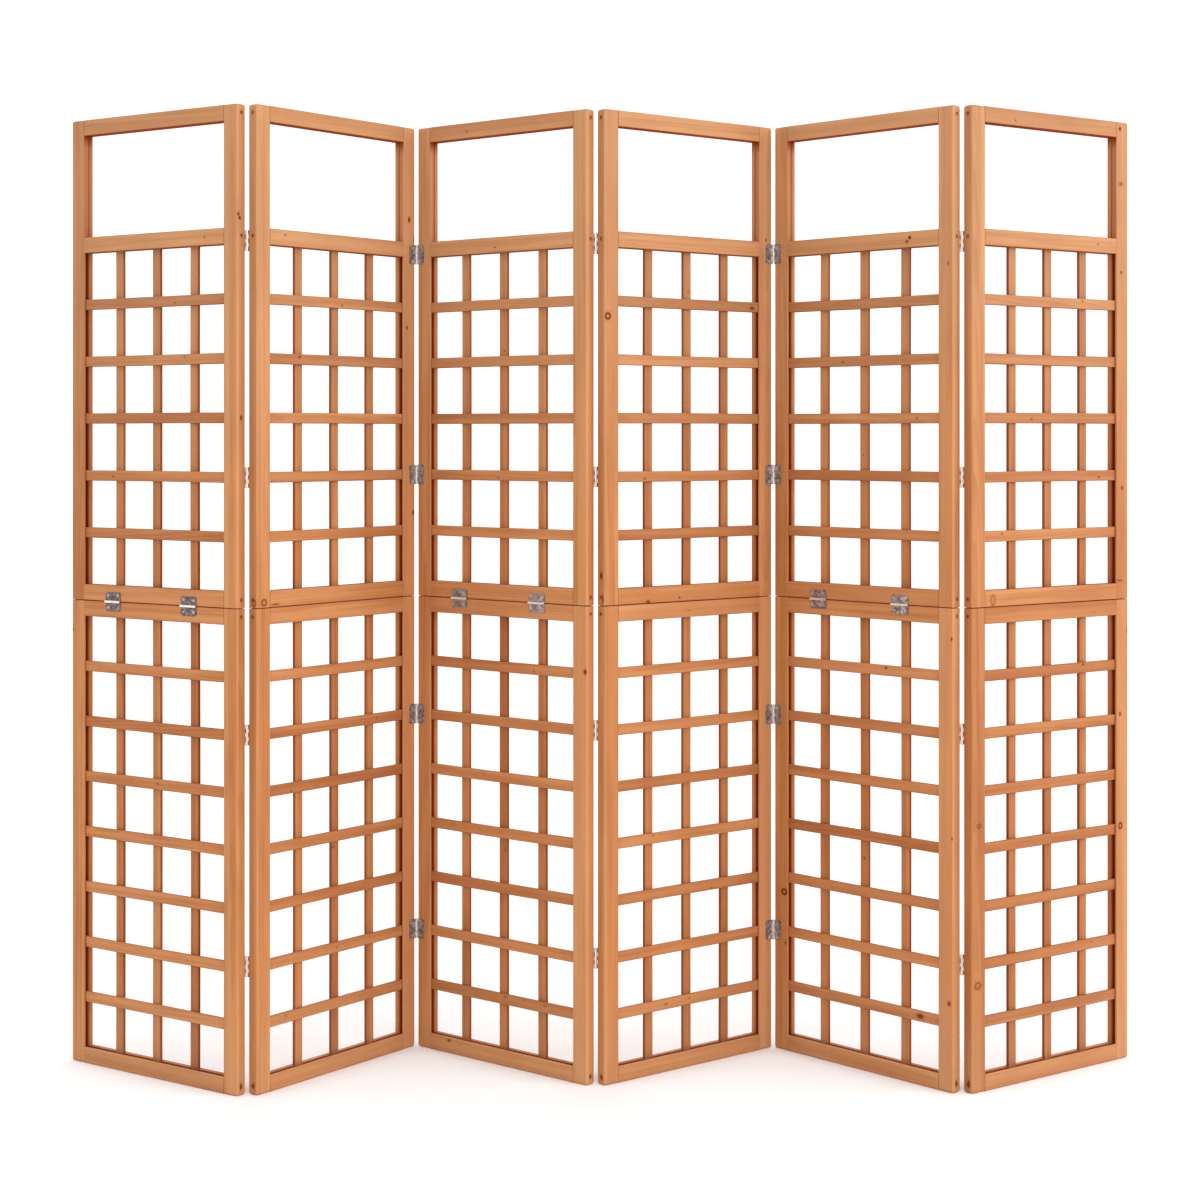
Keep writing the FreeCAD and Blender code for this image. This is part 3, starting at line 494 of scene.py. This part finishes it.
# Knots are (along, across, depth, half length, half width, darkness). A depth puts them on the outer edge.
# Those in the first 20 mm of a lower stile's edge are stain that ran from the screw hole at its foot.
STILE_KNOTS = {
    (1, "upper", "right"): [(0.7155, 0, 0.0034, 0.0036, 0.0034, 0.85),
                            (0.7090, 0, 0.0070, 0.0038, 0.0032, 1.0),
                            (0.346, 0, 0.0105, 0.0046, 0.0028, 0.9)],
    (1, "lower", "left"): [(0.827, 0.0030, 0, 0.0034, 0.0022, 0.8)],
    (1, "lower", "right"): [(0.0160, 0, 0.0095, 0.0072, 0.0024, 0.85)],
    (2, "lower", "left"): [(0.0165, 0, 0.0088, 0.0068, 0.0026, 0.75)],
    (2, "upper", "left"): [(0.0094, 0.0175, 0, 0.0078, 0.0078, -0.75),
                           (0.0090, 0, 0.0078, 0.0076, 0.0060, -0.75)],
    (2, "upper", "right"): [(0.736, 0.0175, 0, 0.0056, 0.0030, 1.0), (0.697, 0.0018, 0, 0.0070, 0.0028, 1.0),
                            (0.524, 0.0232, 0, 0.0040, 0.0024, 0.8), (0.163, 0.0055, 0, 0.0058, 0.0028, 0.9)],
    (3, "lower", "right"): [(0.762, 0.0042, 0, 0.0052, 0.0036, 0.9),
                            (0.0152, 0, 0.0095, 0.0042, 0.0024, 0.85)],
    (4, "upper", "left"): [(0.5342, 0.0074, 0, 0.0078, 0.0076, -1.0), (0.012, 0, 0.0058, 0.0100, 0.0018, 0.9),
                           (0.055, 0, 0.0105, 0.0065, 0.0036, 1.0)],
    (4, "lower", "left"): [(0.0126, 0, 0.0088, 0.0050, 0.0026, 0.85)],
    (5, "lower", "left"): [(0.308, 0.0248, 0, 0.0074, 0.0080, -1.0), (0.209, 0.0280, 0, 0.0034, 0.0024, 0.8)],
    (5, "lower", "right"): [(0.162, 0.0092, 0, 0.0046, 0.0036, 0.8), (0.0170, 0, 0.0088, 0.0066, 0.0026, 0.8),
                            (0.827, 0.0038, 0, 0.0030, 0.0022, 0.8),
                            (0.4635, 0.0024, 0, 0.0028, 0.0026, 0.6)],
    (6, "lower", "left"): [(0.195, 0.0138, 0, 0.0080, 0.0100, -0.65),
                           (0.0161, 0, 0.0088, 0.0080, 0.0026, 0.9),
                           (0.486, 0.0168, 0, 0.0052, 0.0064, -0.7)],
    (6, "upper", "right"): [(0.903, 0.0230, 0, 0.0036, 0.0034, 1.0), (0.797, 0.0205, 0, 0.0042, 0.0064, 0.5),
                            (0.627, 0.0200, 0, 0.0030, 0.0026, 0.8), (0.213, 0.0172, 0, 0.0040, 0.0030, 0.8),
                            (0.0353, 0.0240, 0, 0.0018, 0.0080, 0.7)],
    (6, "lower", "right"): [(0.663, 0.0229, 0, 0.0042, 0.0028, 0.8),
                            (0.4481, 0.0219, 0, 0.0074, 0.0066, -1.0),
                            (0.823, 0.0026, 0, 0.0066, 0.0020, 1.0)],
}
# Single boards that are lighter, or darker, than the rest of their panel.
STILE_TONES = {
    (1, "upper", "left"): -0.10, (2, "upper", "right"): 0.30, (2, "lower", "left"): 0.15,
    (2, "lower", "right"): 0.20, (3, "lower", "left"): -0.20, (4, "lower", "right"): 0.30,
    (5, "upper", "right"): -0.15, (5, "lower", "right"): 0.25, (6, "lower", "left"): -0.30,
}


def between_knots(knots):
    """Stations half way from knot to knot, on front and edge, so that each face belongs to one knot."""
    front = np.sort([knot[0] for knot in knots if knot[2] == 0])
    edge = np.sort([knot[0] for knot in knots if knot[2] > 0])
    return np.concatenate([front[1:] + front[:-1], edge[1:] + edge[:-1]]) / 2


def stile_surface(half, knots):
    """A stile of one half: grooved along the lattice, with a painted shadow line where a strip fills the
    groove.

    The groove's depth falls to the strip's in a straight line behind the ends of the rails. Painted shade
    darkens the inner side in the window's upper corner, under the top rail.
    """
    base, length, rails = STILE_HALVES[half]
    holes = np.array([RAIL_BASES[rail] + RAIL_HEIGHT / 2 - base for rail in rails])
    low, top = LATTICE_SPANS[half][0] - base, LATTICE_SPANS[half][1] - base
    far, close = GROOVE_END_REACH
    hidden = np.array([low - far, low - close, top + close, top + far])
    rims = (holes[:, None] + SCREW_HOLE_RADIUS * np.arange(-2, 3)).ravel()
    corner = RAIL_BASES["top"] - base - np.array([WINDOW_SHADE, 0.0])
    stations = np.concatenate([rims, hidden, corner, between_knots(knots)])
    turned = 1 if half == "upper" else -1

    def shade_by_station(along):
        # Painted shade: dark in the open groove, a shadow line behind the filling strip, and shade in the
        # window's upper corner under the top rail.
        filled = np.interp(along, hidden, (1, 0, 0, 1))[:, None]
        corner_shade = np.interp(along, corner, (0.0, WINDOW_CORNER_SHADE))[:, None] * stile_outline["far_side"]
        return np.maximum(filled * stile_outline["painted_shadow_line"] + (1 - filled) * stile_outline["painted_shade"], corner_shade)

    def groove_depth(along):
        return np.interp(along, hidden, (STRIP_RECESS, GROOVE_DEPTH, GROOVE_DEPTH, STRIP_RECESS))

    board = board_surface(stile_outline, length, (SHUT_END_ROUNDING, STILE_END_ROUNDING)[::turned], stations,
                          STILE_END_STAIN_AND_SHADE[::turned], groove_depth, shade_by_station=shade_by_station)
    return drill_screw_holes(board, stile_outline, holes)


for panel in PANELS:
    for half, (base, length, rails) in STILE_HALVES.items():
        pair = []
        for side, edge, way in (("left", 0.0, UPRIGHT_WAY), ("right", PANEL_WIDTH, MIRRORED_WAY)):
            knots = STILE_KNOTS.get((panel, half, side), [])
            lighter = STILE_TONES.get((panel, half, side), 0.0)
            pair.append((stile_surface(half, knots), (edge, 0, base), way, knots, lighter))
        stiles = joined_boards(f"panel_{panel}_{half}_stile_boards", panel, pair,
                               100 * panel + len(half) + len(rails), STILE_TONE)
        stiles.data.materials.append(softwood)
        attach(stiles, f"panel_{panel}")
        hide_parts(f"panel_{panel}_{half}_stiles")

# Rails: short softwood bars between the stiles, butted and screwed through them.
# Those that border the lattice have the same groove along that edge. The top rail closes the open window.
RAIL_ROUNDING = 0.0015
RAIL_END_ROUNDING = 0.0003
RAIL_TONE = 0.50
RAIL_LENGTH = PANEL_WIDTH - 2 * STILE_WIDTH
LEVEL_WAY = ((1, 0, 0), (0, 0, 1), (0, 1, 0))
HUNG_WAY = ((1, 0, 0), (0, 0, -1), (0, 1, 0))
# Painted shade on the rails' long edges, as shares for the near and the far edge: the undersides are darkest,
# and the upper edges of the window rail and the lower top rail are shaded too.
RAIL_EDGE_SHADES = {None: (1.0, 0.0), "over": (0.75, 0.0), "under": (0.6, 0.9)}
rail_outlines = {
    groove: board_outline(RAIL_HEIGHT, PANEL_THICKNESS, (RAIL_ROUNDING, RAIL_ROUNDING), steps=4,
                          grooved=groove is not None, drilled=False, near_shade=near, far_shade=far)
    for groove, (near, far) in RAIL_EDGE_SHADES.items()
}
RAIL_SETS = {
    "upper": {"top": None, "window": "under", "upper_bottom": "over"},
    "lower": {"lower_top": "under", "lower_bottom": "over"},
}
RAIL_KNOTS = {
    (2, "upper_bottom"): [(0.0135, 0.0050, 0, 0.0090, 0.0022, 0.6)],
    (3, "lower_bottom"): [(0.049, 0.0245, 0, 0.0046, 0.0028, 0.8)],
    (4, "upper_bottom"): [(0.071, 0.0030, 0, 0.0050, 0.0026, 0.9),
                          (0.1481, 0.0071, 0, 0.0024, 0.0019, 0.9)],
    (6, "upper_bottom"): [(0.0198, 0.0120, 0, 0.0078, 0.0120, -0.45)],
    (5, "window"): [(0.2898, 0.0116, 0, 0.0036, 0.0030, 1.0), (0.2840, 0.0188, 0, 0.0030, 0.0032, 0.8)],
}
RAIL_TONES = {
    (1, "top"): -0.20, (2, "upper_bottom"): -0.30, (2, "lower_bottom"): -0.20, (3, "window"): 0.20,
    (4, "window"): -0.12, (4, "lower_top"): 0.25, (5, "window"): -0.15, (5, "upper_bottom"): 0.35,
    (5, "lower_top"): -0.15, (6, "lower_top"): -0.20,
}
for panel in PANELS:
    for half, rails in RAIL_SETS.items():
        bars = []
        for rail, groove in rails.items():
            knots = RAIL_KNOTS.get((panel, rail), [])
            surface = board_surface(rail_outlines[groove], RAIL_LENGTH,
                                    (RAIL_END_ROUNDING, RAIL_END_ROUNDING), between_knots(knots),
                                    cut=lambda along: np.full(len(along), GROOVE_DEPTH))
            way = HUNG_WAY if groove == "under" else LEVEL_WAY
            level = RAIL_BASES[rail] + (RAIL_HEIGHT if groove == "under" else 0)
            lighter = RAIL_TONES.get((panel, rail), 0.0)
            bars.append((surface, (STILE_WIDTH, 0, level), way, knots, lighter))
        bars_of_half = joined_boards(f"panel_{panel}_{half}_rail_boards", panel, bars,
                                     200 * panel + len(rails), RAIL_TONE)
        bars_of_half.data.materials.append(softwood)
        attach(bars_of_half, f"panel_{panel}")
        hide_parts(f"panel_{panel}_{half}_rails")

# Cross slats: thin softwood laths, 20 by 7 mm, planed and stained, in front of the uprights.
# Their ends are glued into the stiles' grooves. Each is a little bowed, as thin laths are.
SLAT_HEIGHT = 0.020
SLAT_THICKNESS = 0.007
SLAT_ROUNDING = 0.0015
SLAT_END_ROUNDING = 0.0004
SLAT_BOW = 0.0007
SLAT_TONE = 0.32
SLAT_RECESS = 0.004
TENON = 0.008
SLAT_ROWS = {"upper": (1.0126667, 0.1086667, 5), "lower": (0.125375, 0.105375, 7)}
# Painted shade on the slats' long edges: dark undersides, less on the tops.
slat_outline = board_outline(SLAT_HEIGHT, SLAT_THICKNESS, (SLAT_ROUNDING, SLAT_ROUNDING), steps=3,
                             grooved=False, drilled=False, near_shade=0.9, far_shade=0.3)
SLAT_KNOTS = {
    (3, "lower", 0): [(0.195, 0.0148, 0, 0.0042, 0.0026, 0.35), (0.293, 0.0142, 0, 0.0040, 0.0024, 0.40)],
    (4, "lower", 0): [(0.126, 0.0109, 0, 0.0046, 0.0028, 0.45), (0.184, 0.0132, 0, 0.0036, 0.0022, 0.40)],
    (4, "upper", 4): [(0.3458, 0.0080, 0, 0.0060, 0.0030, 0.95)],
    (6, "lower", 6): [(0.2728, 0.0160, 0, 0.0026, 0.0026, 0.8)],
    (5, "lower", 0): [(0.319, 0.0105, 0, 0.0076, 0.0050, 0.85)],
}
LATH_TONES = (0.0, -0.08, -0.08, -0.15, -0.04, -0.05)
bows = np.random.default_rng(7)
for panel in PANELS:
    for half, (first, pitch, count) in SLAT_ROWS.items():
        laths = []
        for row in range(count):
            knots = SLAT_KNOTS.get((panel, half, row), [])
            surface = board_surface(slat_outline, RAIL_LENGTH + 2 * TENON,
                                    (SLAT_END_ROUNDING, SLAT_END_ROUNDING), between_knots(knots),
                                    bow=bows.uniform(-SLAT_BOW, SLAT_BOW))
            origin = (STILE_WIDTH - TENON, SLAT_RECESS, first + row * pitch - SLAT_HEIGHT / 2)
            laths.append((surface, origin, LEVEL_WAY, knots, LATH_TONES[panel - 1]))
        cross_slats = joined_boards(f"panel_{panel}_{half}_cross_laths", panel, laths,
                                    300 * panel + count, SLAT_TONE)
        cross_slats.data.materials.append(softwood)
        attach(cross_slats, f"panel_{panel}")
        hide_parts(f"panel_{panel}_{half}_cross_slats")

# Upright slats: thin softwood laths, 19.5 by 7 mm, planed and stained, behind the cross slats.
# They are let into the rails at both ends, and are a little bowed as well.
UPRIGHT_WIDTH = 0.0195
UPRIGHT_BOW = 0.0009
UPRIGHT_TONE = 0.27
UPRIGHT_PLACES = (0.115, 0.210, 0.305)
# Painted shade on both narrow sides of the uprights.
upright_outline = board_outline(UPRIGHT_WIDTH, SLAT_THICKNESS, (SLAT_ROUNDING, SLAT_ROUNDING), steps=3,
                                grooved=False, drilled=False, near_shade=0.65, far_shade=0.65)
for panel in PANELS:
    laths = []
    for low, top in LATTICE_SPANS.values():
        for place in UPRIGHT_PLACES:
            surface = board_surface(upright_outline, top - low + 2 * TENON,
                                    (SLAT_END_ROUNDING, SLAT_END_ROUNDING), [],
                                    bow=bows.uniform(-UPRIGHT_BOW, UPRIGHT_BOW))
            origin = (place - UPRIGHT_WIDTH / 2, SLAT_RECESS + SLAT_THICKNESS, low - TENON)
            laths.append((surface, origin, UPRIGHT_WAY, [], LATH_TONES[panel - 1]))
    upright_slats = joined_boards(f"panel_{panel}_upright_laths", panel, laths, 400 * panel, UPRIGHT_TONE)
    upright_slats.data.materials.append(softwood)
    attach(upright_slats, f"panel_{panel}")
    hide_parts(f"panel_{panel}_upright_slats")

# Hinge leaves: pressed steel, zinc plated and gone dull in patches, rolled round the pin to a barrel.
# Every leaf is held by two countersunk screws. The barrels are rubbed bright and carry a painted highlight,
# brightest in the outward folds.
SHUT_LINE = 0.8835
SHUT_LEAF_REACH = 0.03
SHUT_LEAF_WEAR = {3: -0.3, 5: -0.3}
UNRUBBED = -1.0
BARREL_RADIUS = PIN_OFF_FACE + 0.0001
# Rubbed plating with a painted highlight at the fold barrels: how bright, and out to what distance from the
# pin.
OUTWARD_FOLD_WEAR_AND_HIGHLIGHT = (1.0, 2.2 * BARREL_RADIUS)
INWARD_FOLD_WEAR_AND_HIGHLIGHT = (0.5, BARREL_RADIUS)


def welded_leaves(panel):
    """A panel's hinge leaves, their triangles welded where they meet and shaded smooth between sharp edges.

    The attribute it adds is up to one on the barrels, which lie within their radius of a pin, where the
    plating is rubbed and a highlight is painted; in the outward folds the painted highlight also covers the
    leaves next to the pin. It is nought on the plates at the folds and below nought on the duller plates at
    the shut line. A fold's pin is upright through a point of the plan. The other pins lie along the panel,
    level with the shut line.
    """
    source = frame["nodes"][f"panel_{panel}_hinge_leaves"]
    mesh = source.data.copy()
    mesh.name = f"panel_{panel}_plated_leaves"
    shape = bmesh.new()
    shape.from_mesh(mesh)
    bmesh.ops.remove_doubles(shape, verts=shape.verts, dist=1e-6)
    shape.to_mesh(mesh)
    shape.free()
    mesh.polygons.foreach_set("use_smooth", np.ones(len(mesh.polygons), bool))
    mesh.set_sharp_from_angle(angle=np.radians(32))
    points = np.empty(3 * len(mesh.vertices), np.float32)
    mesh.vertices.foreach_get("co", points)
    points = points.reshape(-1, 3)
    front, behind = panel_to_row(panel, np.array([[0.0, 0.0, 0.0], [0.0, 1.0, 0.0]]))[:, :2]
    depth = (points[:, :2] - front) @ (behind - front)
    pin_depth = -PIN_OFF_FACE if panel % 2 else PANEL_THICKNESS + PIN_OFF_FACE
    level = np.abs(points[:, 2] - SHUT_LINE)
    plates = np.where(level < SHUT_LEAF_REACH, SHUT_LEAF_WEAR.get(panel, UNRUBBED), 0.0)
    rubbed_and_highlit = np.where(np.hypot(depth - pin_depth, level) < BARREL_RADIUS, 1.0, plates)
    for fold in (panel - 1, panel):
        pin = fold_pins.get(f"fold_{fold}_{fold + 1}")
        if pin is not None:
            # Fold barrels: rubbed plating and a painted highlight; in the outward folds it also covers the
            # leaves next to the pin.
            wear_and_highlight, reach = OUTWARD_FOLD_WEAR_AND_HIGHLIGHT if fold % 2 else INWARD_FOLD_WEAR_AND_HIGHLIGHT
            rubbed_and_highlit = np.where(np.hypot(*(points[:, :2] - pin).T) < reach, wear_and_highlight, rubbed_and_highlit)
    layer = mesh.attributes.new("rubbed_and_highlit", "FLOAT", "POINT")
    layer.data.foreach_set("value", rubbed_and_highlit.astype(np.float32))
    leaves = bpy.data.objects.new(mesh.name, mesh)
    bpy.context.scene.collection.objects.link(leaves)
    return leaves


MOTTLE_TINT = (0.45, 0.42, 0.41, 1)
UNRUBBED_TINT = (0.52, 0.50, 0.50, 1)
RUBBED_AND_HIGHLIT_STEEL = (0.92, 0.91, 0.89, 1)


def plated_steel(name, light, dull, roughness):
    """Zinc plating: bright and dull patches over a fine crystalline mottle, brighter where it is rubbed and
    where a highlight is painted.
    """
    material = bpy.data.materials.new(name)
    material.use_nodes = True
    tree = material.node_tree
    shader = tree.nodes["Principled BSDF"]
    place = wire(tree, "ShaderNodeTexCoord").outputs["Object"]
    rubbed_and_highlit = wire(tree, "ShaderNodeAttribute", {"attribute_name": "rubbed_and_highlit"}).outputs["Fac"]
    patch = grain_noise(tree, place, (170.0, 170.0, 170.0), 3.0).outputs["Fac"]
    crystals = wire(tree, "ShaderNodeTexVoronoi", {"feature": "F1"}, {"Vector": place, "Scale": 420.0})
    mottle = wire(tree, "ShaderNodeSeparateColor", None, {0: crystals.outputs["Color"]}).outputs[0]
    metal = blend_colours(tree, "MIX", ramp_between(tree, patch, 0.36, 0.66, 0.0, 1.0), light, dull)
    metal = blend_colours(tree, "MULTIPLY", arithmetic(tree, "MULTIPLY", mottle, 0.7), metal, MOTTLE_TINT)
    metal = blend_colours(tree, "MULTIPLY", arithmetic(tree, "MULTIPLY", rubbed_and_highlit, -1.0), metal, UNRUBBED_TINT)
    # Near white where the plating is rubbed and where a highlight is painted.
    metal = blend_colours(tree, "MIX", arithmetic(tree, "MULTIPLY", rubbed_and_highlit, 0.85), metal, RUBBED_AND_HIGHLIT_STEEL)
    tree.links.new(metal, shader.inputs["Base Color"])
    rough = arithmetic(tree, "MULTIPLY_ADD", patch, 0.30, roughness - 0.12)
    rough = arithmetic(tree, "ADD", rough, arithmetic(tree, "MULTIPLY", mottle, 0.10))
    tree.links.new(arithmetic(tree, "MULTIPLY_ADD", rubbed_and_highlit, -0.10, rough), shader.inputs["Roughness"])
    bump = wire(tree, "ShaderNodeBump", None, {"Strength": 0.2, "Distance": 0.0002, "Height": patch})
    tree.links.new(bump.outputs["Normal"], shader.inputs["Normal"])
    shader.inputs["Metallic"].default_value = 1.0
    return material


dull_zinc = plated_steel("dull_zinc", (0.64, 0.54, 0.51, 1), (0.28, 0.22, 0.20, 1), 0.40)
for panel in PANELS:
    leaves = welded_leaves(panel)
    leaves.data.materials.clear()
    leaves.data.materials.append(dull_zinc)
    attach(leaves, f"panel_{panel}")
    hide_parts(f"panel_{panel}_hinge_leaves")

# Hinge pins: bright steel wire, one through the knuckles of each hinge.
# Each is held by a peened head at both ends of the barrel. The CAD pins are kept and given their finish.
bright_pin = plated_steel("bright_pin", (0.80, 0.80, 0.79, 1), (0.60, 0.60, 0.59, 1), 0.28)
for panel in PANELS:
    pins = frame["nodes"][f"panel_{panel}_hinge_pins"]
    pins.data.materials.clear()
    pins.data.materials.append(bright_pin)

# Screws: zinc-plated steel, countersunk with a cross recess, two in each hinge leaf.
# Longer ones, sunk in the stiles' edges, hold the rails. The CAD screws are kept and given their finish.
screw_steel = plated_steel("screw_steel", (0.66, 0.62, 0.60, 1), (0.46, 0.42, 0.40, 1), 0.42)
for panel in PANELS:
    screws = frame["nodes"][f"panel_{panel}_screws"]
    screws.data.materials.clear()
    screws.data.materials.append(screw_steel)

# Floor: a wide pale studio floor, painted and faintly uneven in tone.
# It is a level grid a little below the feet, so that no face lies in another.
FLOOR_HALF = 30.0
FLOOR_LEVEL = -0.0004
FLOOR_COLOURS = ((0.97, 0.97, 0.97, 1), (0.955, 0.955, 0.955, 1))
floor_lines = np.linspace(-FLOOR_HALF, FLOOR_HALF, 25)
across, away = np.meshgrid(floor_lines, floor_lines)
floor_points = np.stack([across.ravel(), away.ravel(), np.full(across.size, FLOOR_LEVEL)], axis=1)
tile = np.arange(across.size).reshape(across.shape)
floor_faces = np.stack([tile[:-1, :-1], tile[:-1, 1:], tile[1:, 1:], tile[1:, :-1]], axis=2)
floor_mesh = bpy.data.meshes.new("studio_floor")
floor_mesh.from_pydata(floor_points.tolist(), [], floor_faces.reshape(-1, 4).tolist())
floor = bpy.data.objects.new("studio_floor", floor_mesh)
bpy.context.scene.collection.objects.link(floor)
floor_paint = bpy.data.materials.new("pale_floor")
floor_paint.use_nodes = True
floor_tree = floor_paint.node_tree
floor_place = wire(floor_tree, "ShaderNodeTexCoord").outputs["Object"]
cloud = grain_noise(floor_tree, floor_place, (0.7, 0.7, 0.7), 2.0).outputs["Fac"]
floor_colour = blend_colours(floor_tree, "MIX", cloud, *FLOOR_COLOURS)
floor_shader = floor_tree.nodes["Principled BSDF"]
floor_tree.links.new(floor_colour, floor_shader.inputs["Base Color"])
floor_shader.inputs["Roughness"].default_value = 0.9
floor_shader.inputs["Specular IOR Level"].default_value = 0.1
floor_mesh.materials.append(floor_paint)

# Studio light: a white surround that lights the screen from all sides.
# A large soft key stands in front on the right, and a second light farther round.
world = bpy.data.worlds.new("white_surround")
world.use_nodes = True
surround = world.node_tree.nodes["Background"]
surround.inputs["Color"].default_value = (1.0, 1.0, 1.0, 1.0)
surround.inputs["Strength"].default_value = 1.18
bpy.context.scene.world = world


def soft_light(name, place, target, size, power):
    """A square area light that faces a point."""
    data = bpy.data.lights.new(name, "AREA")
    data.shape = "SQUARE"
    data.size = size
    data.energy = power
    lamp = bpy.data.objects.new(name, data)
    lamp.location = place
    way = np.asarray(target, float) - np.asarray(place, float)
    lamp.rotation_euler = (np.arctan2(np.hypot(way[0], way[1]), -way[2]), 0, np.arctan2(-way[0], way[1]))
    bpy.context.scene.collection.objects.link(lamp)
    return lamp


soft_light("key_light", (5.0, -6.0, 4.0), (0.0, 0.0, 1.2), 4.0, 135.0)
soft_light("side_light", (9.0, -2.6, 3.6), (0.0, 0.0, 1.3), 5.0, 210.0)

# Camera: level, at the photograph's height and place.
# Its lens is shifted down and across, as the photograph is framed.
bpy.context.scene.view_settings.view_transform = "Standard"
lens = bpy.data.cameras.new("photo_camera")
lens.sensor_width = 36.0
lens.lens = 64.935
lens.shift_x = 0.0474
lens.shift_y = -0.1378
lens.clip_end = 200.0
camera = bpy.data.objects.new("photo_camera", lens)
camera.location = (-0.1117, -4.0939, 1.1994)
camera.rotation_euler = (np.pi / 2, 0, 0)
bpy.context.scene.collection.objects.link(camera)
bpy.context.scene.camera = camera
